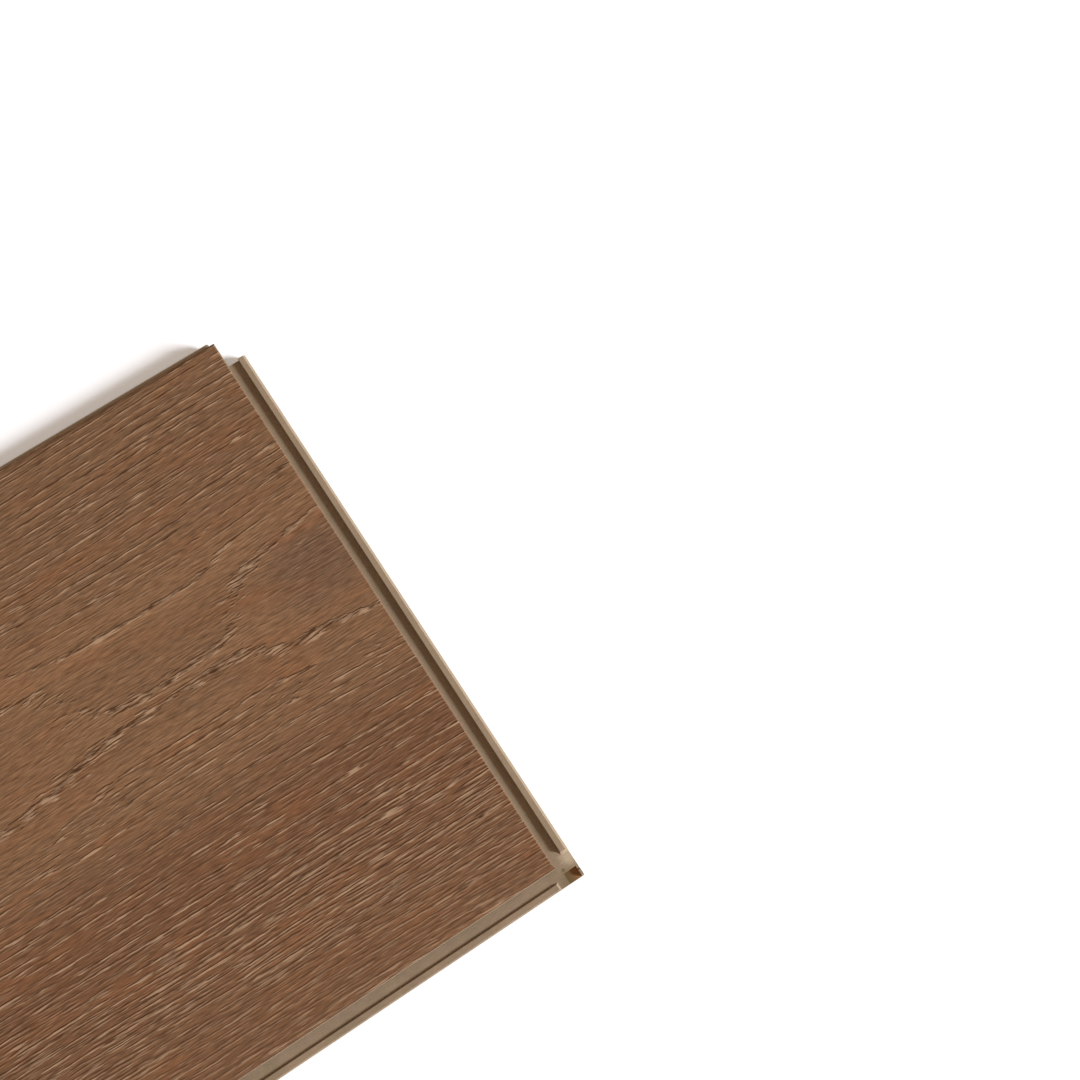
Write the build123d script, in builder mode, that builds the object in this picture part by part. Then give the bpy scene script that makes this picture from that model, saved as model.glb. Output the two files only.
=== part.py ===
"""Laminate floor plank with a milled click profile on all four sides.

Frame: +X along the plank, towards its groove end; +Y across it, towards its tongue side; +Z up.
The origin lies on the underside, below the centre of the decor face. All sizes are in millimetres.
"""

import os
from dataclasses import dataclass

from build123d import *

# Decor face and board
face_length = 1215.0
face_width = 195.0
board_thickness = 8.0
decor_thickness = 0.2

# Pressed bevel along the two long edges, which the decor follows
bevel_width = 1.2
bevel_drop = 0.45

# Milled bevel on the two ends, which cuts through the decor
end_bevel = 0.5

# Heights above the underside that both click profiles share
groove_floor = 1.7
groove_roof = 4.3

# Room between a tongue side and the groove side that it clicks into
fit_clearance = 0.12
nose_clearance = 0.6
tip_clearance = 1.0


@dataclass
class ClickProfile:
    """One groove side, in distances from the decor edge, with the tongue side that fits it."""

    groove_depth: float
    ridge_foot: float
    ridge_start: float
    ridge_top: float
    lip_reach: float
    lip_chamfer: float

    @property
    def tongue_reach(self):
        return self.groove_depth - nose_clearance

    @property
    def undercut(self):
        return self.lip_reach + tip_clearance

    def groove_side(self):
        """Outline from the underside, round the lip and the groove, to the decor edge: (outward, height)."""
        return [
            (self.lip_reach, 0),
            (self.lip_reach, self.ridge_top - self.lip_chamfer),
            (self.lip_reach - self.lip_chamfer, self.ridge_top),
            (self.ridge_start, self.ridge_top),
            (self.ridge_foot, groove_floor),
            (-self.groove_depth, groove_floor),
            (-self.groove_depth, groove_roof),
            (0, groove_roof),
        ]

    def tongue_side(self):
        """Outline from the underside, past the locking recess and the tongue, up to the decor edge."""
        return [
            (-self.undercut, 0),
            (-self.undercut, self.ridge_top + fit_clearance),
            (-self.ridge_start + fit_clearance, self.ridge_top + fit_clearance),
            (-self.ridge_foot + fit_clearance, groove_floor + fit_clearance),
            (self.tongue_reach, groove_floor + fit_clearance),
            (self.tongue_reach, groove_roof - fit_clearance),
            (0, groove_roof - fit_clearance),
        ]


long_click = ClickProfile(
    groove_depth=3.4,
    ridge_foot=3.35,
    ridge_start=3.75,
    ridge_top=2.4,
    lip_reach=5.7,
    lip_chamfer=0.3,
)
end_click = ClickProfile(
    groove_depth=2.0,
    ridge_foot=3.95,
    ridge_start=4.1,
    ridge_top=3.5,
    lip_reach=6.5,
    lip_chamfer=0.75,
)

# Relief pocket in the corner between the two lips, in distances from the two decor edges
corner_start_along = 1.6
corner_start_across = 2.2
corner_wall = 0.75
corner_floor = 0.7

# The tongue's nose and the back of the groove are chamfered alike
nose_chamfer = 0.6

half_length = face_length / 2
half_width = face_width / 2
core_top = board_thickness - decor_thickness
cutter_length = face_length + end_click.lip_reach + end_click.tongue_reach
cutter_width = face_width + long_click.lip_reach + long_click.tongue_reach


def chamfer_noses(tongue_tip, groove_back):
    """Chamfers the tongue's tip and the back of the groove in the current sketch."""
    reach = nose_chamfer / 10
    for place in (tongue_tip, groove_back):
        corners = vertices().filter_by_position(Axis.X, place - reach, place + reach)
        chamfer(corners, nose_chamfer)


# Section along the plank, from the tongue end on the left to the groove end on the right
with BuildSketch(Plane.XZ) as end_section:
    with BuildLine():
        groove_outline = [(half_length + out, up) for out, up in end_click.groove_side()]
        tongue_outline = [(-half_length - out, up) for out, up in end_click.tongue_side()]
        Polyline(
            *groove_outline,
            (half_length, board_thickness - end_bevel),
            (half_length - end_bevel, board_thickness),
            (-half_length + end_bevel, board_thickness),
            (-half_length, board_thickness - end_bevel),
            *reversed(tongue_outline),
            close=True,
        )
    make_face()
    chamfer_noses(-half_length - end_click.tongue_reach, half_length - end_click.groove_depth)

# Core board: the section across the plank, with the section along it milled straight through
with BuildPart() as core_board:
    with BuildSketch(Plane.YZ):
        with BuildLine():
            groove_outline = [(-half_width - out, up) for out, up in long_click.groove_side()]
            tongue_outline = [(half_width + out, up) for out, up in long_click.tongue_side()]
            Polyline(
                *groove_outline,
                (-half_width, core_top - bevel_drop),
                (-half_width + bevel_width, core_top),
                (half_width - bevel_width, core_top),
                (half_width, core_top - bevel_drop),
                *reversed(tongue_outline),
                close=True,
            )
        make_face()
        chamfer_noses(half_width + long_click.tongue_reach, -half_width + long_click.groove_depth)
    extrude(amount=cutter_length, both=True)
    extrude(end_section.sketch, amount=cutter_width, both=True, mode=Mode.INTERSECT)

    # Each lip stops where the undercut of the other profile begins
    with BuildSketch():
        with Locations((half_length, half_width - long_click.undercut)):
            Rectangle(cutter_width, cutter_width, align=Align.MIN)
        with Locations((-half_length + end_click.undercut, -half_width)):
            Rectangle(cutter_width, cutter_width, align=Align.MAX)
    extrude(amount=board_thickness, mode=Mode.SUBTRACT)

    # The corner between the two lips is relieved, open to the groove side, with a thin wall left at its end
    relief_length = end_click.lip_reach - corner_wall - corner_start_along
    with BuildSketch(Plane.XY.offset(corner_floor)):
        with Locations((half_length + corner_start_along, -half_width - corner_start_across)):
            Rectangle(relief_length, long_click.lip_reach, align=(Align.MIN, Align.MAX))
    extrude(amount=board_thickness, mode=Mode.SUBTRACT)

# Decor layer: the printed face, pressed down over the long bevels and cut by the end bevels
with BuildPart() as decor_layer:
    with BuildSketch(Plane.YZ):
        with BuildLine():
            face_outline = [
                (-half_width, board_thickness - bevel_drop),
                (-half_width + bevel_width, board_thickness),
                (half_width - bevel_width, board_thickness),
                (half_width, board_thickness - bevel_drop),
            ]
            back_outline = [(across, up - decor_thickness) for across, up in face_outline]
            Polyline(*face_outline, *reversed(back_outline), close=True)
        make_face()
    extrude(amount=cutter_length, both=True)
    extrude(end_section.sketch, amount=cutter_width, both=True, mode=Mode.INTERSECT)

core_board.part.label = "core_board"
decor_layer.part.label = "decor_layer"

os.makedirs("parts", exist_ok=True)
export_step(core_board.part, "parts/core_board.step")
export_step(decor_layer.part, "parts/decor_layer.step")
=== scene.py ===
"""Looks of a floating floor plank: a brown oak laminate face on a milled fibreboard core.

It is laid out as a Blender add-on and run as a script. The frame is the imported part's own, in metres:
+X along the plank to its groove end, +Y across it to its tongue side, +Z up out of the decor face.
"""

import math

import bmesh
import bpy
from bpy.props import FloatProperty, FloatVectorProperty, PointerProperty
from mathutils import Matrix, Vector


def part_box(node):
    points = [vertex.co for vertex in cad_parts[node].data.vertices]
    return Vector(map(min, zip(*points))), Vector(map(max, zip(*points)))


bl_info = {
    "name": "Floating floor plank",
    "version": (1, 0, 0),
    "blender": (4, 5, 0),
    "location": "View3D > Sidebar > Plank",
    "description": "Oak laminate and fibreboard finishes of a floor plank, with its stage",
    "category": "Object",
}

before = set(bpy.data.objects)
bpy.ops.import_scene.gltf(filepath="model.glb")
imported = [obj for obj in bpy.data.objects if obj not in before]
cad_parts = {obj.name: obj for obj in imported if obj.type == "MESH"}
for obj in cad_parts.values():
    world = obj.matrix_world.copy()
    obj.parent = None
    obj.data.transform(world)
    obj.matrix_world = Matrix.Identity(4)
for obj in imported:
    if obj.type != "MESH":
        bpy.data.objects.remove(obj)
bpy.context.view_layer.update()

MM = 0.001
DECOR_LOW, DECOR_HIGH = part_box("decor_layer")
CORE_LOW, CORE_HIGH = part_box("core_board")

# Floor: its width, its gap below the plank, how much it is lifted for the eye, and where it turns plain white
FLOOR_SIZE = 12.0
FLOOR_GAP = 0.1 * MM
FLOOR_LIFT = 0.18
WHITE_FROM = 0.9
WHITE_FULL = 2.5

# Outline of the flame figure, in millimetres along the plank from the flame's neck and across the plank
FLAME_LOWEST = -20
FLAME_SPAN = 80
FLAME_TONGUE_EDGE = (
    (-195, 42), (-98, 38), (-65, 35), (-46, 31), (-37, 24.5), (-33, 17), (-26, 13), (-17, 10.5),
    (0, 11), (15, 11.8), (20, 13.5), (24, 20), (29, 25), (35, 28), (45, 31.5), (62, 35), (195, 42))
FLAME_GROOVE_EDGE = (
    (-195, -8), (-98, -2), (-65, 1.5), (-46, 4.5), (-26, 7), (0, 8.2), (19, 8.5), (24, 6), (32, 3),
    (45, 2.4), (62, -1), (195, -8))

# Narrow years: rings to add to an even growth, by millimetres across the plank from the pith
RING_REACH = 120
MOST_ADDED = 6
ADDED_RINGS = (
    (-120, 3.4), (-98, 4.1), (-84, 4.3), (-66, 3.4), (-58, 3.3), (-40, 3.2), (-24, 1), (-19, 0),
    (20, 0), (28, 0.3), (42, 2), (60, 4.2), (82, 5.1), (120, 5.5))

# The flame's bends fade out away from the pith, and the plain grain takes over
BEND_FULL = 10 * MM
BEND_NONE = 22 * MM
FLARE_NONE = 60 * MM
PLAIN_FROM = 15 * MM
PLAIN_FULL = 30 * MM

# Early wood, whose pores make the dashes: its width at the flame's neck, at its belly and in plain grain
EARLY_AT_NECK = 2.4 * MM
EARLY_AT_BELLY = 6 * MM
EARLY_IN_PLAIN = 0.62 * MM
EARLY_PLAIN_FROM = 14 * MM
EARLY_PLAIN_FULL = 25 * MM
NARROW_FLAME = 9 * MM
WIDE_FLAME = 14 * MM

# Stagger of the rows of pores along the grain, and the parts of a ring by which years and rows move
ROW_STAGGER = 16 * MM
YEAR_CHANGE = 0.9
HATCH_SHIFT = 0.2
PLAIN_SHIFT = 0.07

# Fine lines crowd together here, across the plank
CROWD_ACROSS = -66 * MM

# How far lines leave the straight: slow waves, small wobbles, and the fan from the flame's neck as a slope
SWAY = 1.5 * MM
WOBBLE = 0.28 * MM
FAN_SLOPE = 0.0186

# Drift of the figure away from the groove end
DRIFT_LENGTH = 230 * MM
DRIFT_FROM = 220 * MM
DRIFT_FULL = 420 * MM
DRIFT_ALONG = 250 * MM
DRIFT_ACROSS = 60 * MM

# Middle value of a noise pattern
NOISE_MIDDLE = 0.5

# Sizes of the oak's patterns in millimetres along and across the grain, with their detail
PLANK_PATTERNS = {
    "wander": (90, 40, 1),
    "wobble": (3.5, 1.5, 1),
    "pale_patch": (6, 1.5, 3),
}
PORE_PATTERNS = {
    "row": (25, 0.8, 1),
    "year": (300, 6, 1),
    "plain_dash": (10, 0.85, 2),
    "dash_group": (35, 4, 1),
    "fine_line": (11, 0.55, 2),
}
GROUND_PATTERNS = {
    "band": (320, 30, 2),
    "streak": (160, 2.2, 2),
    "fibre": (4, 0.45, 2),
    "blush": (40, 9, 2),
}

# How strongly fine lines show on a pore's dark and pale sides, and how well pores cover the ground
FINE_DARK = 0.65
FINE_PALE = 0.4
DARK_COVER = 0.86
PALE_COVER = 0.76

# Places on the face with a tone of their own: a lighter band beside the flame, and greyer wood inside it
LIGHT_BAND_ACROSS = 35 * MM
GREY_HEART = (DECOR_HIGH.x - 10 * MM, 19 * MM, DECOR_HIGH.z)

# Long bevels of the face, from their upper edge, and the cut side of the layer
BEVEL_EDGE = DECOR_HIGH.y - 1.3 * MM
BEVEL_FULL = DECOR_HIGH.y - 1 * MM
CUT_SIDE = DECOR_HIGH.y - 0.005 * MM

# Levels and spots of the milled profile at the groove end
SKIN_FROM = 2.4 * MM
LIP_LEVEL = 4.2 * MM
CHANNEL_LEVEL = 1.7 * MM
POCKET_LEVEL = 1.2 * MM
TORN_CORNER = (DECOR_HIGH.x + 5.6 * MM, DECOR_LOW.y + 1.4 * MM, CHANNEL_LEVEL)
# Middle of a painted shade round the pocket's inner end
SHADE_SPREAD = (DECOR_HIGH.x + 2.6 * MM, DECOR_LOW.y - 4.6 * MM, CHANNEL_LEVEL)
NICK = (DECOR_HIGH.x + 2 * MM, DECOR_LOW.y - 1.3 * MM, CHANNEL_LEVEL)

# Sizes of the fibreboard's patterns: resin patches, clouds of tone, ragged edges and the felt's relief
RESIN_PATCH = 4 * MM
CLOUD_SIZE = 9 * MM
RAGGED_REACH = 5 * MM
FELT_DEPTH = 0.05 * MM
FELT_ANGLES = (15, 75, 135)


def linear(hex_colour):
    """Linear RGBA of an sRGB hex colour."""
    channels = [int(hex_colour[start:start + 2], 16) / 255 for start in (1, 3, 5)]
    curve = [c / 12.92 if c <= 0.04045 else ((c + 0.055) / 1.055) ** 2.4 for c in channels]
    return (*curve, 1.0)


def add_node(tree, kind, inputs=None, **settings):
    """Adds a shader node. An input that is given a node or an output is linked, another value is set."""
    node = tree.nodes.new("ShaderNode" + kind)
    for name, value in settings.items():
        setattr(node, name, value)
    for name, value in (inputs or {}).items():
        if isinstance(name, int):
            socket = node.inputs[name]
        else:
            socket = next(s for s in node.inputs if s.enabled and s.name == name)
        if isinstance(value, bpy.types.Node):
            value = next(out for out in value.outputs if out.enabled)
        if isinstance(value, bpy.types.NodeSocket):
            tree.links.new(value, socket)
        else:
            socket.default_value = value
    return node


def new_material(name):
    """An empty node material, with its tree."""
    material = bpy.data.materials.new(name)
    material.use_nodes = True
    material.node_tree.nodes.clear()
    return material, material.node_tree


def finish_node(name, material):
    """Puts a material on a CAD node, whose shape stays as it is."""
    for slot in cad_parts[name].material_slots:
        slot.material = material


class DecorSettings(bpy.types.PropertyGroup):
    """Colours and grain sizes of the printed oak face."""

    tan: FloatVectorProperty(
        name="Tan", description="Lighter wood between the wide rings of the figure",
        subtype="COLOR", size=4, min=0, max=1, default=linear("#815F43"))
    brown: FloatVectorProperty(
        name="Brown", description="Ordinary ground of the wood",
        subtype="COLOR", size=4, min=0, max=1, default=linear("#79593F"))
    red_brown: FloatVectorProperty(
        name="Red brown", description="Darker wood along the groove side",
        subtype="COLOR", size=4, min=0, max=1, default=linear("#6E4A32"))
    blush: FloatVectorProperty(
        name="Blush", description="Warm patches in the print",
        subtype="COLOR", size=4, min=0, max=1, default=linear("#855839"))
    grey_brown: FloatVectorProperty(
        name="Grey brown", description="Greyer wood inside the flame figure at the groove end",
        subtype="COLOR", size=4, min=0, max=1, default=linear("#705440"))
    pore_dark: FloatVectorProperty(
        name="Pore", description="Open pore lines",
        subtype="COLOR", size=4, min=0, max=1, default=linear("#432813"))
    pore_light: FloatVectorProperty(
        name="Limed pore", description="Pale dash beside a pore",
        subtype="COLOR", size=4, min=0, max=1, default=linear("#BE9C7C"))
    cut_edge: FloatVectorProperty(
        name="Cut edge", description="Resin paper where the layer is cut through",
        subtype="COLOR", size=4, min=0, max=1, default=linear("#5A4230"))
    neck_along: FloatProperty(
        name="Neck along", description="Where the flame figure is narrowest, along the plank",
        unit="LENGTH", default=DECOR_HIGH.x - 62 * MM)
    pith_across: FloatProperty(
        name="Pith across", description="Middle of the growth rings, across the plank",
        unit="LENGTH", default=15.5 * MM)
    flame_length: FloatProperty(
        name="Flame length", description="From one flame figure to the next along the plank",
        unit="LENGTH", default=390 * MM)
    ring_area: FloatProperty(
        name="Ring area", description="Squared distance from the pith that one growth ring takes",
        unit="AREA", default=436 * MM * MM)
    pore_length: FloatProperty(
        name="Pore length", description="Length of a pore dash along the grain",
        unit="LENGTH", default=6 * MM)
    pore_width: FloatProperty(
        name="Pore width", description="Width of a pore dash across the grain",
        unit="LENGTH", default=0.62 * MM)
    pale_shift: FloatProperty(
        name="Pale shift", description="From a dark pore line to its pale side",
        unit="LENGTH", default=0.4 * MM)
    emboss_depth: FloatProperty(
        name="Emboss depth", description="Depth of the pressed pores",
        unit="LENGTH", default=0.06 * MM)


class FibreboardSettings(bpy.types.PropertyGroup):
    """Colours and fibre sizes of the milled core."""

    milled: FloatVectorProperty(
        name="Milled", description="Freshly milled fibreboard",
        subtype="COLOR", size=4, min=0, max=1, default=linear("#978069"))
    resin: FloatVectorProperty(
        name="Resin", description="Fibreboard with more resin, a little greener",
        subtype="COLOR", size=4, min=0, max=1, default=linear("#907D63"))
    frayed: FloatVectorProperty(
        name="Frayed", description="Pale loose fibre on cross-cut faces and in the groove corner",
        subtype="COLOR", size=4, min=0, max=1, default=linear("#B7A489"))
    # Painted shade on the pocket floor's inner end and round it; also the colour of a small dent
    shade_and_dent: FloatVectorProperty(
        name="Shade and dent", description="Floor of the relief pocket at its inner end",
        subtype="COLOR", size=4, min=0, max=1, default=linear("#64502F"))
    # Redder pocket floor at its outer end, made brighter as painted light where the pocket's wall shades it
    red_and_painted_light: FloatVectorProperty(
        name="Red and painted light", description="Redder floor of the relief pocket at its outer end",
        subtype="COLOR", size=4, min=0, max=1, default=linear("#A06A3C"))
    fibre_dark: FloatVectorProperty(
        name="Dark fibre", description="Darker fibre bundles",
        subtype="COLOR", size=4, min=0, max=1, default=linear("#7C6248"))
    dense_skin: FloatVectorProperty(
        name="Dense skin", description="Denser board close to its two pressed faces",
        subtype="COLOR", size=4, min=0, max=1, default=linear("#7C634B"))
    fibre_length: FloatProperty(
        name="Fibre length", description="Length of a fibre bundle",
        unit="LENGTH", default=2.0 * MM)
    fibre_width: FloatProperty(
        name="Fibre width", description="Width of a fibre bundle",
        unit="LENGTH", default=0.25 * MM)


class StageSettings(bpy.types.PropertyGroup):
    """Camera place and light level."""

    floor: FloatVectorProperty(
        name="Floor", description="Plain pale floor",
        subtype="COLOR", size=4, min=0, max=1, default=linear("#F7F7F7"))
    aim: FloatVectorProperty(
        name="Aim", description="Point in the decor plane that the camera looks at",
        subtype="XYZ", unit="LENGTH", default=(DECOR_HIGH.x + 50.5 * MM, -12.6 * MM, DECOR_HIGH.z))
    distance: FloatProperty(
        name="Distance", description="From the camera to the point it looks at",
        unit="LENGTH", default=538.9 * MM)
    heading: FloatProperty(
        name="Heading", description="Direction of the camera's look, from +X towards +Y",
        subtype="ANGLE", default=math.radians(56.7))
    elevation: FloatProperty(
        name="Elevation", description="Height of the camera above the horizon",
        subtype="ANGLE", default=math.radians(74.24))
    lens: FloatProperty(
        name="Lens", description="Focal length on a sensor 36 mm wide",
        subtype="DISTANCE_CAMERA", default=59.0)
    key_power: FloatProperty(
        name="Key light", description="Power of the soft lamp beyond the groove end",
        unit="POWER", default=996)
    key_distance: FloatProperty(
        name="Key distance", description="From the lamp to the groove end",
        unit="LENGTH", default=8.0)
    key_size: FloatProperty(
        name="Key size", description="Width of the lamp",
        unit="LENGTH", default=1.8)
    key_heading: FloatProperty(
        name="Key heading", description="Where the lamp stands, from +X towards +Y",
        subtype="ANGLE", default=math.radians(-41))
    key_elevation: FloatProperty(
        name="Key elevation", description="Height of the lamp above the horizon",
        subtype="ANGLE", default=math.radians(27))
    key_colour: FloatVectorProperty(
        name="Key colour", description="Slightly cool light of the lamp",
        subtype="COLOR", size=3, min=0, max=1, default=linear("#EFF6FF")[:3])
    fill: FloatProperty(
        name="Fill", description="Strength of the even light from all sides",
        default=0.38, min=0)
    fill_colour: FloatVectorProperty(
        name="Fill colour", description="Warm light thrown back by the room",
        subtype="COLOR", size=4, min=0, max=1, default=linear("#FFE5CE"))


def drawn_curve(tree, share, points):
    """A curve drawn through a few points, from a share of its length to a share of its height."""
    curve = add_node(tree, "FloatCurve", {"Value": share})
    handles = curve.mapping.curves[0].points
    while len(handles) < len(points):
        handles.new(0.5, 0.5)
    for handle, point in zip(handles, points):
        handle.location = point
        handle.handle_type = "AUTO_CLAMPED"
    curve.mapping.update()
    return curve


def flame_edge(tree, flame_share, outline, settings):
    """Height across the plank of one edge of the flame figure."""
    length = settings.flame_length / MM
    points = [(0.5 + along / length, (across - FLAME_LOWEST) / FLAME_SPAN) for along, across in outline]
    edge = drawn_curve(tree, flame_share, points)
    return add_node(
        tree, "Math", {0: edge, 1: FLAME_SPAN * MM, 2: FLAME_LOWEST * MM}, operation="MULTIPLY_ADD")


def oak_patterns(tree, place, sizes):
    """Patterns by name, each stretched along the grain to its own length, width and detail."""
    patterns = {}
    for name, (length, width, detail) in sizes.items():
        spot = add_node(
            tree, "Mapping", {"Vector": place, "Scale": (1 / (length * MM), 1 / (width * MM), 1)})
        patterns[name] = add_node(
            tree, "TexNoise", {"Vector": spot, "Scale": 1, "Detail": detail}, noise_dimensions="2D")
    return patterns


def pore_lines(tree, grain, fine_share, settings):
    """Pore lines at a place in the grain, in rows of dashes that follow the growth rings.

    Gives their strength, and how far through its ring the place lies.
    """
    axes = add_node(tree, "SeparateXYZ", {"Vector": grain})
    across = axes.outputs["Y"]
    flame_dash = (settings.pore_length / MM, settings.pore_width / MM, 2)
    patterns = oak_patterns(tree, grain, {"flame_dash": flame_dash, **PORE_PATTERNS})

    # Each row of pores starts where it likes, so a ring that runs askew is hatched
    row = add_node(tree, "Math", {0: patterns["row"], 1: NOISE_MIDDLE}, operation="SUBTRACT")
    along = add_node(
        tree, "Math", {0: row, 1: ROW_STAGGER, 2: axes.outputs["X"]}, operation="MULTIPLY_ADD")

    # The innermost ring is a flame with a narrow neck, and is met again at every flame length
    turn_share = add_node(
        tree, "Math",
        {0: along, 1: 1 / settings.flame_length, 2: 0.5 - settings.neck_along / settings.flame_length},
        operation="MULTIPLY_ADD")
    flame_share = add_node(tree, "Math", {0: turn_share}, operation="FRACT")
    tongue_edge = flame_edge(tree, flame_share, FLAME_TONGUE_EDGE, settings)
    groove_edge = flame_edge(tree, flame_share, FLAME_GROOVE_EDGE, settings)
    double_width = add_node(tree, "Math", {0: tongue_edge, 1: groove_edge}, operation="SUBTRACT")
    half_width = add_node(tree, "Math", {0: double_width, 1: 0.5}, operation="MULTIPLY")
    axis = add_node(tree, "Math", {0: half_width, 1: groove_edge}, operation="ADD")

    # Rings further out are straighter, and lie round a straight axis
    pith = settings.pith_across
    off_axis = add_node(tree, "Math", {0: axis, 1: pith}, operation="SUBTRACT")
    off_pith = add_node(tree, "Math", {0: across, 1: pith}, operation="SUBTRACT")
    distance = add_node(tree, "Math", {0: off_pith}, operation="ABSOLUTE")
    bend = add_node(
        tree, "MapRange",
        {"Value": distance, "From Min": BEND_FULL, "From Max": BEND_NONE, "To Min": -1, "To Max": 0})
    from_axis = add_node(tree, "Math", {0: off_axis, 1: bend, 2: off_pith}, operation="MULTIPLY_ADD")
    flare = add_node(
        tree, "MapRange",
        {"Value": distance, "From Min": BEND_NONE, "From Max": FLARE_NONE, "To Min": -1, "To Max": 0})
    flare = add_node(tree, "Math", {0: flare, 1: half_width}, operation="MULTIPLY")
    flare = add_node(tree, "Math", {0: flare, 1: half_width}, operation="MULTIPLY")
    area = add_node(tree, "Math", {0: from_axis, 1: from_axis, 2: flare}, operation="MULTIPLY_ADD")
    ring = add_node(tree, "Math", {0: area, 1: 1 / settings.ring_area}, operation="MULTIPLY")

    # Narrow years add rings away from the flame; they are read here and a millimetre further out
    radius = add_node(tree, "Math", {0: area, 1: 0}, operation="MAXIMUM")
    radius = add_node(tree, "Math", {0: radius}, operation="SQRT")
    outward = add_node(tree, "Math", {0: off_pith}, operation="SIGN")
    radius = add_node(tree, "Math", {0: radius, 1: outward}, operation="MULTIPLY")
    pith_share = add_node(
        tree, "Math", {0: radius, 1: 0.5 / (RING_REACH * MM), 2: 0.5}, operation="MULTIPLY_ADD")
    next_share = add_node(tree, "Math", {0: pith_share, 1: 0.5 / RING_REACH}, operation="ADD")
    points = [(0.5 + 0.5 * place / RING_REACH, rings / MOST_ADDED) for place, rings in ADDED_RINGS]
    added = drawn_curve(tree, pith_share, points)
    next_added = drawn_curve(tree, next_share, points)
    ring = add_node(tree, "Math", {0: added, 1: MOST_ADDED, 2: ring}, operation="MULTIPLY_ADD")

    # Ring widths also differ from year to year in the plain grain
    plainness = add_node(
        tree, "MapRange", {"Value": distance, "From Min": PLAIN_FROM, "From Max": PLAIN_FULL})
    year = add_node(tree, "Math", {0: patterns["year"], 1: plainness}, operation="MULTIPLY")
    ring = add_node(tree, "Math", {0: year, 1: YEAR_CHANGE, 2: ring}, operation="MULTIPLY_ADD")
    shift = add_node(
        tree, "MapRange",
        {"Value": half_width, "From Max": WIDE_FLAME, "To Min": 0, "To Max": HATCH_SHIFT})
    shift = add_node(tree, "Mix", {"Factor": plainness, "A": shift, "B": PLAIN_SHIFT})
    ring = add_node(tree, "Math", {0: row, 1: shift, 2: ring}, operation="MULTIPLY_ADD")
    ring_share = add_node(tree, "Math", {0: ring}, operation="FRACT")

    # Early wood with its pores is a few millimetres wide round the flame, and only a hair in the plain grain
    flame_width = add_node(
        tree, "MapRange",
        {"Value": half_width, "From Max": NARROW_FLAME, "To Min": EARLY_AT_NECK, "To Max": EARLY_AT_BELLY})
    early_width = add_node(
        tree, "MapRange",
        {"Value": distance, "From Min": EARLY_PLAIN_FROM, "From Max": EARLY_PLAIN_FULL,
         "To Min": flame_width, "To Max": EARLY_IN_PLAIN})
    added_rate = add_node(tree, "Math", {0: next_added, 1: added}, operation="SUBTRACT")
    added_rate = add_node(tree, "Math", {0: added_rate, 1: MOST_ADDED / MM}, operation="MULTIPLY")
    ring_rate = add_node(
        tree, "Math", {0: from_axis, 1: 2 / settings.ring_area, 2: added_rate}, operation="MULTIPLY_ADD")
    ring_rate = add_node(tree, "Math", {0: ring_rate}, operation="ABSOLUTE")
    early_share = add_node(tree, "Math", {0: ring_rate, 1: early_width}, operation="MULTIPLY")
    into_ring = add_node(tree, "Math", {0: ring_share, 1: early_share}, operation="DIVIDE")
    early_wood = add_node(
        tree, "MapRange", {"Value": into_ring, "From Min": 0.3, "From Max": 1, "To Min": 1, "To Max": 0},
        interpolation_type="SMOOTHSTEP")

    # Dashes along the grain, short hatching on the flame and longer broken lines in the plain grain
    dash = add_node(
        tree, "Mix", {"Factor": plainness, "A": patterns["flame_dash"], "B": patterns["plain_dash"]})
    gather = add_node(tree, "MapRange", {"Value": plainness, "To Min": 0.3, "To Max": 0.33})
    gathered = add_node(tree, "Math", {0: early_wood, 1: gather, 2: dash}, operation="MULTIPLY_ADD")
    group = add_node(tree, "Math", {0: patterns["dash_group"], 1: NOISE_MIDDLE}, operation="SUBTRACT")
    group = add_node(tree, "Math", {0: group, 1: plainness}, operation="MULTIPLY")
    gathered = add_node(tree, "Math", {0: group, 1: 0.55, 2: gathered}, operation="MULTIPLY_ADD")
    strength = add_node(
        tree, "MapRange",
        {"Value": across, "From Min": -70 * MM, "From Max": -90 * MM, "To Min": 1, "To Max": 0.65})
    ring_dash = add_node(
        tree, "MapRange", {"Value": gathered, "From Min": 0.72, "From Max": 0.8, "To Max": strength})

    # Finer lines fill the grain between the rings, and crowd together near the groove side
    line = add_node(tree, "MapRange", {"Value": patterns["fine_line"], "From Min": 0.5, "From Max": 0.68})
    density = add_node(
        tree, "MapRange", {"Value": plainness, "To Min": 0.85 * fine_share, "To Max": fine_share})
    from_crowd = add_node(tree, "Math", {0: across, 1: CROWD_ACROSS}, operation="SUBTRACT")
    from_crowd = add_node(tree, "Math", {0: from_crowd}, operation="ABSOLUTE")
    crowding = add_node(
        tree, "MapRange",
        {"Value": from_crowd, "From Min": 6 * MM, "From Max": 24 * MM, "To Min": 1.7, "To Max": 0.9})
    density = add_node(tree, "Math", {0: density, 1: crowding}, operation="MULTIPLY")
    line = add_node(tree, "Math", {0: line, 1: density}, operation="MULTIPLY")
    return add_node(tree, "Math", {0: ring_dash, 1: line}, operation="MAXIMUM"), ring_share


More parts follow.
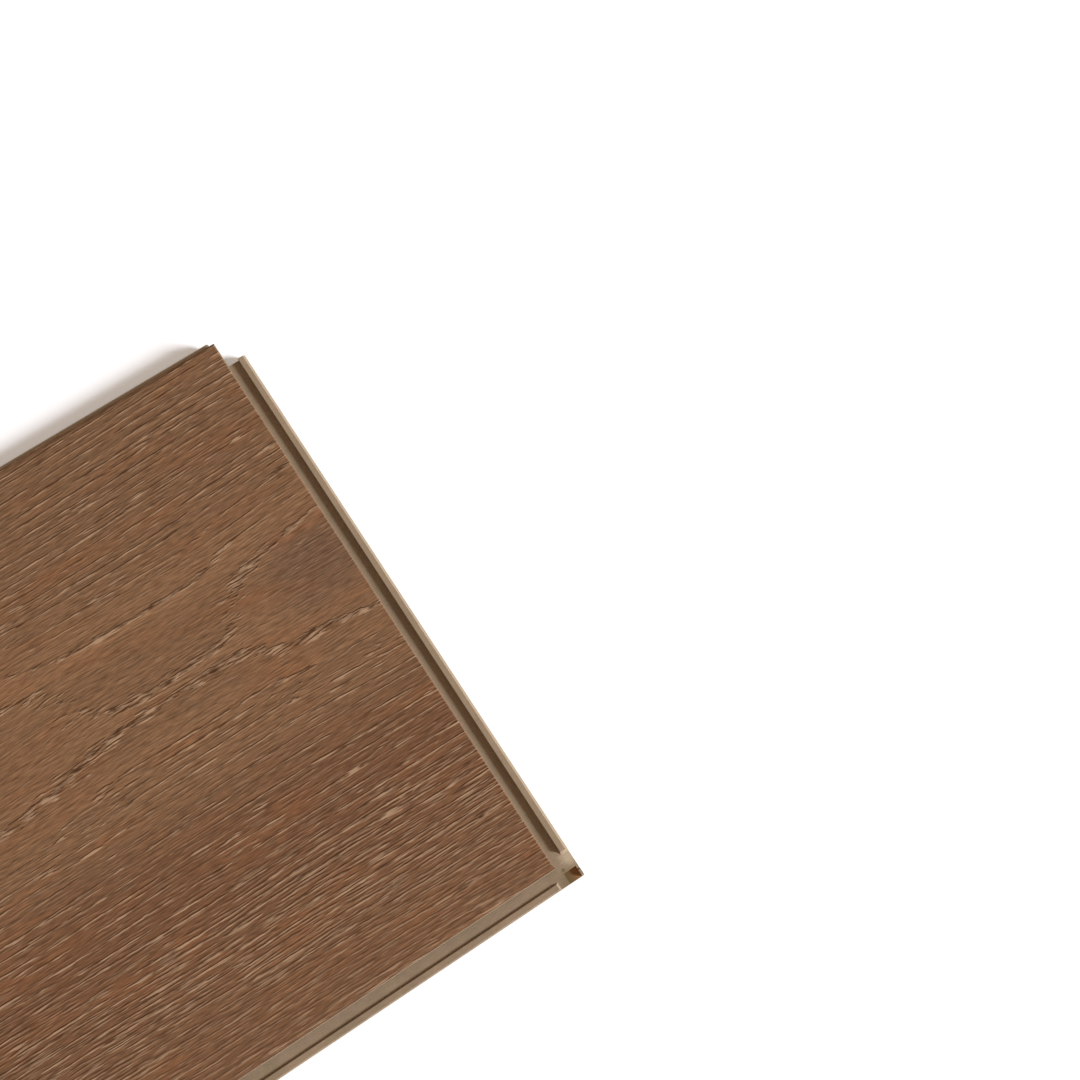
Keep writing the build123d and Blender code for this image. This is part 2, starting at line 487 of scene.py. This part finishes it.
def oak_laminate(settings):
    """Melamine laminate printed as brown oak and pressed with its pores.

    It is matt. The eye reads flame figures with hatched edges, thin pore lines that are dark on one side and
    pale on the other, and broad tan and red brown bands. Single fibres are drawn coarser than real ones, so
    that they show.
    """
    material, tree = new_material("oak_laminate")
    place = add_node(tree, "TexCoord").outputs["Object"]
    plank_axes = add_node(tree, "SeparateXYZ", {"Vector": place})
    plank_along = plank_axes.outputs["X"]
    plank_across = plank_axes.outputs["Y"]
    patterns = oak_patterns(tree, place, PLANK_PATTERNS)

    # The grain wanders slowly and fans out from the flame's neck, so no line is quite straight
    sway = add_node(
        tree, "MapRange",
        {"Value": patterns["wander"], "From Min": 0, "From Max": 1, "To Min": -SWAY, "To Max": SWAY},
        clamp=False)
    sway = add_node(tree, "Math", {0: patterns["wobble"], 1: WOBBLE, 2: sway}, operation="MULTIPLY_ADD")
    turn = 2 * math.pi / settings.flame_length
    angle = add_node(
        tree, "Math", {0: plank_along, 1: turn, 2: -turn * settings.neck_along}, operation="MULTIPLY_ADD")
    fan = add_node(tree, "Math", {0: angle}, operation="SINE")
    off_pith = add_node(tree, "Math", {0: plank_across, 1: settings.pith_across}, operation="SUBTRACT")
    fan = add_node(tree, "Math", {0: fan, 1: off_pith}, operation="MULTIPLY")
    sway = add_node(tree, "Math", {0: fan, 1: -FAN_SLOPE, 2: sway}, operation="MULTIPLY_ADD")

    # Away from the groove end the figure drifts, so that no two flames are alike
    drift_place = add_node(tree, "Math", {0: plank_along, 1: 1 / DRIFT_LENGTH}, operation="MULTIPLY")
    drift = add_node(tree, "TexNoise", {"W": drift_place, "Scale": 1, "Detail": 1}, noise_dimensions="1D")
    drift = add_node(tree, "Math", {0: drift, 1: NOISE_MIDDLE}, operation="SUBTRACT")
    far = add_node(
        tree, "MapRange",
        {"Value": plank_along, "From Min": DECOR_HIGH.x - DRIFT_FROM, "From Max": DECOR_HIGH.x - DRIFT_FULL},
        interpolation_type="SMOOTHSTEP")
    drift = add_node(tree, "Math", {0: drift, 1: far}, operation="MULTIPLY")
    drift_along = add_node(tree, "Math", {0: drift, 1: DRIFT_ALONG}, operation="MULTIPLY")
    sway = add_node(tree, "Math", {0: drift, 1: DRIFT_ACROSS, 2: sway}, operation="MULTIPLY_ADD")
    sway_vector = add_node(tree, "CombineXYZ", {"X": drift_along, "Y": sway})
    grain = add_node(tree, "VectorMath", {0: place, 1: sway_vector}, operation="ADD")
    across = add_node(tree, "SeparateXYZ", {"Vector": grain}).outputs["Y"]

    # Each pore is dark on its tongue side and pale on its groove side
    dark_pore, ring_share = pore_lines(tree, grain, FINE_DARK, settings)
    behind = add_node(tree, "VectorMath", {0: grain, 1: (0, settings.pale_shift, 0)}, operation="ADD")
    pale_pore = pore_lines(tree, behind, FINE_PALE, settings)[0]

    # Pale dashes show in patches, most of all along the groove side
    groove_side = add_node(
        tree, "MapRange",
        {"Value": across, "From Min": 5 * MM, "From Max": -45 * MM, "To Min": 0, "To Max": 1},
        interpolation_type="SMOOTHSTEP")
    liming = add_node(
        tree, "Math", {0: groove_side, 1: 0.08, 2: patterns["pale_patch"]}, operation="MULTIPLY_ADD")
    liming = add_node(tree, "MapRange", {"Value": liming, "From Min": 0.34, "From Max": 0.68})
    pale_line = add_node(tree, "Math", {0: pale_pore, 1: liming}, operation="MULTIPLY")

    # Ground: tan round the figure, with broad bands beyond it
    tones = oak_patterns(tree, grain, GROUND_PATTERNS)
    from_pith = add_node(tree, "Math", {0: off_pith}, operation="ABSOLUTE")
    figure = add_node(
        tree, "MapRange",
        {"Value": from_pith, "From Min": 20 * MM, "From Max": 45 * MM, "To Min": 1, "To Max": 0.15},
        interpolation_type="SMOOTHSTEP")
    band = add_node(tree, "MapRange", {"Value": tones["band"], "From Min": 0.35, "From Max": 0.65})
    band = add_node(tree, "Math", {0: band, 1: 0.4}, operation="MULTIPLY")
    band = add_node(tree, "Math", {0: band, 1: figure}, operation="MAXIMUM")
    ground = add_node(
        tree, "Mix", {"Factor": band, "A": settings.brown, "B": settings.tan}, data_type="RGBA")

    # Redder wood along the groove side, greyer wood inside the flame, and warm patches
    redness = add_node(
        tree, "MapRange",
        {"Value": across, "From Min": -14 * MM, "From Max": -42 * MM, "To Min": 0, "To Max": 0.8},
        interpolation_type="SMOOTHSTEP")
    fading = add_node(
        tree, "MapRange",
        {"Value": across, "From Min": -50 * MM, "From Max": -75 * MM, "To Min": 1, "To Max": 0.6})
    redness = add_node(tree, "Math", {0: redness, 1: fading}, operation="MULTIPLY")
    ground = add_node(
        tree, "Mix", {"Factor": redness, "A": ground, "B": settings.red_brown}, data_type="RGBA")
    to_heart = add_node(tree, "VectorMath", {0: place, 1: GREY_HEART}, operation="DISTANCE")
    greyness = add_node(
        tree, "MapRange",
        {"Value": to_heart.outputs["Value"], "From Min": 4 * MM, "From Max": 24 * MM,
         "To Min": 0.75, "To Max": 0},
        interpolation_type="SMOOTHSTEP")
    ground = add_node(
        tree, "Mix", {"Factor": greyness, "A": ground, "B": settings.grey_brown}, data_type="RGBA")
    blush = add_node(
        tree, "MapRange", {"Value": tones["blush"], "From Min": 0.5, "From Max": 0.8, "To Max": 0.6})
    ground = add_node(
        tree, "Mix", {"Factor": blush, "A": ground, "B": settings.blush}, data_type="RGBA")

    # Streaks and single fibres, and a lighter band beside the flame on the tongue side
    shade = add_node(
        tree, "MapRange",
        {"Value": tones["streak"], "From Min": 0.25, "From Max": 0.75, "To Min": 0.91, "To Max": 1.09})
    fine_shade = add_node(
        tree, "MapRange",
        {"Value": tones["fibre"], "From Min": 0.25, "From Max": 0.75, "To Min": 0.7, "To Max": 1.3})
    shade = add_node(tree, "Math", {0: shade, 1: fine_shade}, operation="MULTIPLY")
    from_band = add_node(tree, "Math", {0: across, 1: LIGHT_BAND_ACROSS}, operation="SUBTRACT")
    from_band = add_node(tree, "Math", {0: from_band}, operation="ABSOLUTE")
    band_shade = add_node(
        tree, "MapRange",
        {"Value": from_band, "From Min": 3 * MM, "From Max": 9 * MM, "To Min": 1.09, "To Max": 1})
    shade = add_node(tree, "Math", {0: shade, 1: band_shade}, operation="MULTIPLY")

    # Wood grows lighter through each ring, and the long bevels are painted darker: painted shade that tones
    # down how the lamp lights them
    ring_shade = add_node(tree, "MapRange", {"Value": ring_share, "To Min": 0.94, "To Max": 1.07})
    shade = add_node(tree, "Math", {0: shade, 1: ring_shade}, operation="MULTIPLY")
    side = add_node(tree, "Math", {0: plank_across}, operation="ABSOLUTE")
    bevel_painted_shade = add_node(
        tree, "MapRange",
        {"Value": side, "From Min": BEVEL_EDGE, "From Max": BEVEL_FULL, "To Min": 1, "To Max": 0.86})
    shade = add_node(tree, "Math", {0: shade, 1: bevel_painted_shade}, operation="MULTIPLY")
    ground = add_node(tree, "VectorMath", {0: ground, "Scale": shade}, operation="SCALE")

    # Pore lines over the ground, then the cut edge of the layer
    dark_share = add_node(tree, "Math", {0: dark_pore, 1: DARK_COVER}, operation="MULTIPLY")
    colour = add_node(
        tree, "Mix", {"Factor": dark_share, "A": ground, "B": settings.pore_dark}, data_type="RGBA")
    pale_share = add_node(tree, "Math", {0: pale_line, 1: PALE_COVER}, operation="MULTIPLY")
    colour = add_node(
        tree, "Mix", {"Factor": pale_share, "A": colour, "B": settings.pore_light}, data_type="RGBA")
    cut = add_node(tree, "Math", {0: side, 1: CUT_SIDE}, operation="GREATER_THAN")
    colour = add_node(
        tree, "Mix", {"Factor": cut, "A": colour, "B": settings.cut_edge}, data_type="RGBA")

    # The press sinks the pores and leaves their pale sides proud; a mesh of them would be far too fine
    relief = add_node(tree, "Math", {0: tones["fibre"], 1: 0.35}, operation="MULTIPLY")
    relief = add_node(tree, "Math", {0: dark_pore, 1: -0.5, 2: relief}, operation="MULTIPLY_ADD")
    relief = add_node(tree, "Math", {0: pale_pore, 1: 0.7, 2: relief}, operation="MULTIPLY_ADD")
    bump = add_node(
        tree, "Bump", {"Height": relief, "Strength": 0.3, "Distance": settings.emboss_depth})
    gloss = add_node(tree, "MapRange", {"Value": dark_pore, "To Min": 0.78, "To Max": 0.9})
    surface = add_node(
        tree, "BsdfPrincipled",
        {"Base Color": colour, "Roughness": gloss, "IOR": 1.5, "Specular IOR Level": 0.15, "Normal": bump})
    add_node(tree, "OutputMaterial", {"Surface": surface})
    return material


def milled_fibreboard(settings):
    """High-density fibreboard, pressed from fine wood fibre and milled.

    It is dull and even. The eye reads a light brown felt of short fibres, a little darker towards the pressed
    faces, with pale loose fibre where the cutters crossed it.
    """
    material, tree = new_material("milled_fibreboard")
    coordinates = add_node(tree, "TexCoord")
    place = coordinates.outputs["Object"]

    # Short fibre bundles that lie at several angles, drawn coarser than real fibre so that they show
    felt = None
    for degrees in FELT_ANGLES:
        turned = add_node(
            tree, "Mapping",
            {"Vector": place, "Rotation": (0, 0, math.radians(degrees)),
             "Scale": (1 / settings.fibre_length, 1 / settings.fibre_width, 1 / settings.fibre_width)})
        fibre = add_node(tree, "TexNoise", {"Vector": turned, "Scale": 1, "Detail": 2})
        if felt is None:
            felt = fibre
        else:
            felt = add_node(tree, "Math", {0: felt, 1: fibre}, operation="MAXIMUM")
    fleck = add_node(tree, "MapRange", {"Value": felt, "From Min": 0.5, "From Max": 0.75})
    fleck_share = add_node(tree, "Math", {0: fleck, 1: 0.45}, operation="MULTIPLY")

    # The pressed faces are denser than the middle of the board
    axes = add_node(tree, "SeparateXYZ", {"Vector": place})
    height = axes.outputs["Z"]
    middle = (CORE_LOW.z + CORE_HIGH.z) / 2
    from_middle = add_node(tree, "Math", {0: height, 1: middle}, operation="SUBTRACT")
    from_middle = add_node(tree, "Math", {0: from_middle}, operation="ABSOLUTE")
    skin = add_node(
        tree, "MapRange",
        {"Value": from_middle, "From Min": SKIN_FROM, "From Max": middle}, interpolation_type="SMOOTHSTEP")
    resin_place = add_node(tree, "Mapping", {"Vector": place, "Scale": (1 / RESIN_PATCH,) * 3})
    resin = add_node(tree, "TexNoise", {"Vector": resin_place, "Scale": 1, "Detail": 2})
    resin = add_node(tree, "MapRange", {"Value": resin, "From Min": 0.35, "From Max": 0.65})
    colour = add_node(
        tree, "Mix", {"Factor": resin, "A": settings.milled, "B": settings.resin}, data_type="RGBA")
    colour = add_node(
        tree, "Mix", {"Factor": skin, "A": colour, "B": settings.dense_skin}, data_type="RGBA")
    colour = add_node(
        tree, "Mix", {"Factor": fleck_share, "A": colour, "B": settings.fibre_dark}, data_type="RGBA")
    cloud_place = add_node(tree, "Mapping", {"Vector": place, "Scale": (1 / CLOUD_SIZE,) * 3})
    cloud = add_node(tree, "TexNoise", {"Vector": cloud_place, "Scale": 1, "Detail": 2})
    cloud = add_node(tree, "MapRange", {"Value": cloud, "To Min": 0.85, "To Max": 1.15})
    colour = add_node(tree, "VectorMath", {0: colour, "Scale": cloud}, operation="SCALE")

    # Cutters leave loose fibre on cross-cut faces, in the groove corner and on the end lip; the tongue is
    # made paler too, as painted light on a strip that lies in the plank's shadow
    facing = add_node(tree, "SeparateXYZ", {"Vector": coordinates.outputs["Normal"]})
    along_facing = add_node(tree, "Math", {0: facing.outputs["X"]}, operation="ABSOLUTE")
    cross_cut = add_node(
        tree, "MapRange", {"Value": along_facing, "From Min": 0.3, "From Max": 0.7, "To Max": 0.45})
    lip_level = add_node(tree, "Math", {0: height, 1: LIP_LEVEL}, operation="LESS_THAN")
    cross_cut = add_node(tree, "Math", {0: cross_cut, 1: lip_level}, operation="MULTIPLY")
    to_corner = add_node(tree, "VectorMath", {0: place, 1: TORN_CORNER}, operation="DISTANCE")
    ragged = add_node(
        tree, "Math", {0: felt, 1: RAGGED_REACH, 2: to_corner.outputs["Value"]}, operation="MULTIPLY_ADD")
    torn = add_node(
        tree, "MapRange",
        {"Value": ragged, "From Min": 4 * MM, "From Max": 6.5 * MM, "To Min": 1, "To Max": 0})
    end_lip = add_node(
        tree, "MapRange",
        {"Value": axes.outputs["X"], "From Min": DECOR_HIGH.x, "From Max": DECOR_HIGH.x + 0.5 * MM,
         "To Max": 0.12})
    loose = add_node(tree, "Math", {0: cross_cut, 1: torn}, operation="MAXIMUM")
    loose = add_node(tree, "Math", {0: loose, 1: end_lip}, operation="MAXIMUM")
    # Painted light: the tongue beyond the decor's tongue-side edge is mixed towards the pale fibre colour
    tongue = add_node(
        tree, "MapRange",
        {"Value": axes.outputs["Y"], "From Min": DECOR_HIGH.y, "From Max": DECOR_HIGH.y + 0.3 * MM,
         "To Max": 0.6})
    loose = add_node(tree, "Math", {0: loose, 1: tongue}, operation="MAXIMUM")
    colour = add_node(
        tree, "Mix", {"Factor": loose, "A": colour, "B": settings.frayed}, data_type="RGBA")

    # The relief pocket has the only floor that looks up from so low. Its floor is painted darker at its inner
    # end as painted shade, and redder and brighter at its outer end, partly painted light that offsets its
    # wall's shadow
    low = add_node(tree, "Math", {0: height, 1: POCKET_LEVEL}, operation="LESS_THAN")
    looks_up = add_node(tree, "Math", {0: facing.outputs["Z"], 1: 0.5}, operation="GREATER_THAN")
    pocket = add_node(tree, "Math", {0: low, 1: looks_up}, operation="MULTIPLY")
    outward = add_node(
        tree, "MapRange",
        {"Value": axes.outputs["X"], "From Min": DECOR_HIGH.x + 2 * MM, "From Max": DECOR_HIGH.x + 5 * MM})
    pocket_shade_and_light = add_node(
        tree, "Mix", {"Factor": outward, "A": settings.shade_and_dent, "B": settings.red_and_painted_light}, data_type="RGBA")
    colour = add_node(tree, "Mix", {"Factor": pocket, "A": colour, "B": pocket_shade_and_light}, data_type="RGBA")

    # Painted shade that spreads the pocket's darker floor past its edge, and a small dent beside the pocket
    for spot, inner, outer, share in ((SHADE_SPREAD, 1.5 * MM, 4 * MM, 0.6), (NICK, 0.2 * MM, 0.8 * MM, 0.8)):
        to_spot = add_node(tree, "VectorMath", {0: place, 1: spot}, operation="DISTANCE")
        stain = add_node(
            tree, "MapRange",
            {"Value": to_spot.outputs["Value"], "From Min": inner, "From Max": outer,
             "To Min": share, "To Max": 0})
        colour = add_node(
            tree, "Mix", {"Factor": stain, "A": colour, "B": settings.shade_and_dent}, data_type="RGBA")

    bump = add_node(tree, "Bump", {"Height": felt, "Strength": 0.5, "Distance": FELT_DEPTH})
    surface = add_node(
        tree, "BsdfPrincipled",
        {"Base Color": colour, "Roughness": 0.9, "IOR": 1.45, "Normal": bump})
    add_node(tree, "OutputMaterial", {"Surface": surface})
    return material


def seen_directly(tree):
    """One where the camera looks, also in a reflection or through a clear piece, and nought elsewhere."""
    path = add_node(tree, "LightPath")
    seen = add_node(
        tree, "Math",
        {0: path.outputs["Is Camera Ray"], 1: path.outputs["Is Transmission Ray"]}, operation="MAXIMUM")
    return add_node(tree, "Math", {0: seen, 1: path.outputs["Is Glossy Ray"]}, operation="MAXIMUM")


def pale_floor(settings):
    """Matt white board, which shows the plank's soft shadow and turns plain white further off."""
    material, tree = new_material("pale_floor")
    seen = seen_directly(tree)
    board = add_node(tree, "BsdfDiffuse", {"Color": settings.floor})
    lift = add_node(tree, "Math", {0: seen, 1: FLOOR_LIFT}, operation="MULTIPLY")
    glow = add_node(tree, "Emission", {"Strength": lift})
    near = add_node(tree, "AddShader", {0: board, 1: glow})
    place = add_node(tree, "TexCoord").outputs["Object"]
    away = add_node(tree, "VectorMath", {0: place}, operation="LENGTH").outputs["Value"]
    far = add_node(
        tree, "MapRange", {"Value": away, "From Min": WHITE_FROM, "From Max": WHITE_FULL},
        interpolation_type="SMOOTHSTEP")
    far = add_node(tree, "Math", {0: far, 1: seen}, operation="MULTIPLY")
    white = add_node(tree, "Emission", {"Strength": 1})
    surface = add_node(tree, "MixShader", {0: far, 1: near, 2: white})
    add_node(tree, "OutputMaterial", {"Surface": surface})
    return material


def white_world(settings):
    """Even warm light from all sides, and white to the camera and in reflections."""
    world = bpy.data.worlds.new("white_studio")
    world.use_nodes = True
    tree = world.node_tree
    tree.nodes.clear()
    seen = seen_directly(tree)
    strength = add_node(tree, "MapRange", {"Value": seen, "To Min": settings.fill, "To Max": 1})
    colour = add_node(
        tree, "Mix", {"Factor": seen, "A": settings.fill_colour, "B": (1, 1, 1, 1)}, data_type="RGBA")
    sky = add_node(tree, "Background", {"Color": colour, "Strength": strength})
    add_node(tree, "OutputWorld", {"Surface": sky})
    return world


def place_round(target, heading, elevation, distance):
    """A point at a distance from the target, in a direction given by two angles."""
    level = math.cos(elevation)
    toward = Vector((level * math.cos(heading), level * math.sin(heading), math.sin(elevation)))
    return Vector(target) + toward * distance


class PLANK_OT_core_board(bpy.types.Operator):
    """Gives the core board its milled fibreboard finish"""

    bl_idname = "plank.core_board"
    bl_label = "Core board"

    def execute(self, context):
        finish_node("core_board", milled_fibreboard(context.scene.plank_fibreboard))
        return {"FINISHED"}


class PLANK_OT_decor_layer(bpy.types.Operator):
    """Gives the decor layer its printed and pressed oak finish"""

    bl_idname = "plank.decor_layer"
    bl_label = "Decor layer"

    def execute(self, context):
        finish_node("decor_layer", oak_laminate(context.scene.plank_decor))
        return {"FINISHED"}


class PLANK_OT_stage(bpy.types.Operator):
    """Sets out the pale floor, the light and the camera"""

    bl_idname = "plank.stage"
    bl_label = "Stage"

    def execute(self, context):
        scene = context.scene
        settings = scene.plank_stage

        mesh = bpy.data.meshes.new("floor")
        shape = bmesh.new()
        bmesh.ops.create_grid(shape, x_segments=1, y_segments=1, size=FLOOR_SIZE / 2)
        bmesh.ops.translate(shape, vec=(0, 0, CORE_LOW.z - FLOOR_GAP), verts=shape.verts)
        shape.to_mesh(mesh)
        shape.free()
        mesh.materials.append(pale_floor(settings))
        floor = bpy.data.objects.new("floor", mesh)
        scene.collection.objects.link(floor)

        scene.world = white_world(settings)
        groove_end = Vector((CORE_HIGH.x, 0, CORE_HIGH.z))
        lamp = bpy.data.lights.new("key_light", "AREA")
        lamp.energy = settings.key_power
        lamp.color = settings.key_colour
        lamp.size = settings.key_size
        key = bpy.data.objects.new("key_light", lamp)
        key.location = place_round(
            groove_end, settings.key_heading, settings.key_elevation, settings.key_distance)
        key.rotation_euler = (groove_end - key.location).to_track_quat("-Z", "Y").to_euler()
        scene.collection.objects.link(key)

        aim = Vector(settings.aim)
        camera = bpy.data.objects.new("camera", bpy.data.cameras.new("camera"))
        camera.data.lens = settings.lens
        camera.location = place_round(
            aim, settings.heading + math.pi, settings.elevation, settings.distance)
        camera.rotation_euler = (aim - camera.location).to_track_quat("-Z", "Y").to_euler()
        camera.data.clip_start = 10 * MM
        scene.collection.objects.link(camera)
        scene.camera = camera
        scene.view_settings.view_transform = "Standard"
        return {"FINISHED"}


class PLANK_PT_sidebar(bpy.types.Panel):
    """Lists the plank's finishes and its stage"""

    bl_idname = "PLANK_PT_sidebar"
    bl_label = "Floor plank"
    bl_space_type = "VIEW_3D"
    bl_region_type = "UI"
    bl_category = "Plank"

    def draw(self, context):
        for operator, group in STEPS:
            box = self.layout.box()
            box.operator(operator.bl_idname)
            settings = getattr(context.scene, group)
            for name in settings.__annotations__:
                box.prop(settings, name)


STEPS = (
    (PLANK_OT_core_board, "plank_fibreboard"),
    (PLANK_OT_decor_layer, "plank_decor"),
    (PLANK_OT_stage, "plank_stage"),
)
GROUPS = {
    "plank_fibreboard": FibreboardSettings,
    "plank_decor": DecorSettings,
    "plank_stage": StageSettings,
}
CLASSES = (*GROUPS.values(), *(operator for operator, group in STEPS), PLANK_PT_sidebar)


def register():
    for cls in CLASSES:
        bpy.utils.register_class(cls)
    for name, group in GROUPS.items():
        setattr(bpy.types.Scene, name, PointerProperty(type=group))


def unregister():
    for name in GROUPS:
        delattr(bpy.types.Scene, name)
    for cls in reversed(CLASSES):
        bpy.utils.unregister_class(cls)


def main():
    register()
    bpy.ops.plank.core_board()
    bpy.ops.plank.decor_layer()
    bpy.ops.plank.stage()


if __name__ == "__main__":
    main()
